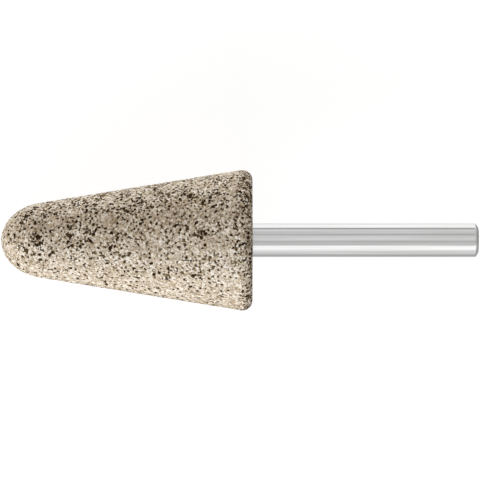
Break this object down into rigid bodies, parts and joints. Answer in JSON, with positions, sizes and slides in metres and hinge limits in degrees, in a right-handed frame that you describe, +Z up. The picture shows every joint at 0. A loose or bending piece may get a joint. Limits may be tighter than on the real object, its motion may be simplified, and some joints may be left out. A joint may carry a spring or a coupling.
{
  "type": "mounted point",
  "caption": "Conical grinding head with a rounded nose, bonded abrasive, cemented on a straight round steel shank for a collet.",
  "frame": {"origin": "on the floor, under the middle of the tool as it lies on its flank", "axes": "+X from the nose towards the shank's free end, +Z up; the tool's own axis lies in the XZ plane, about 9.2 degrees up from +X, because the cone rests on its flank"},
  "size_m": [0.0844, 0.025, 0.0248],
  "materials": {
    "abrasive_grit": "coarse vitrified grit, cream and tan grains with dark brown and black ones",
    "ground_steel": "ground bright, near mirror",
    "pale_cement": "matt pale cement"
  },
  "bodies": {
    "root": {"abrasive_head": "abrasive_grit", "steel_shank": "ground_steel", "cement_sleeve": "pale_cement"}
  },
  "joints": []
}
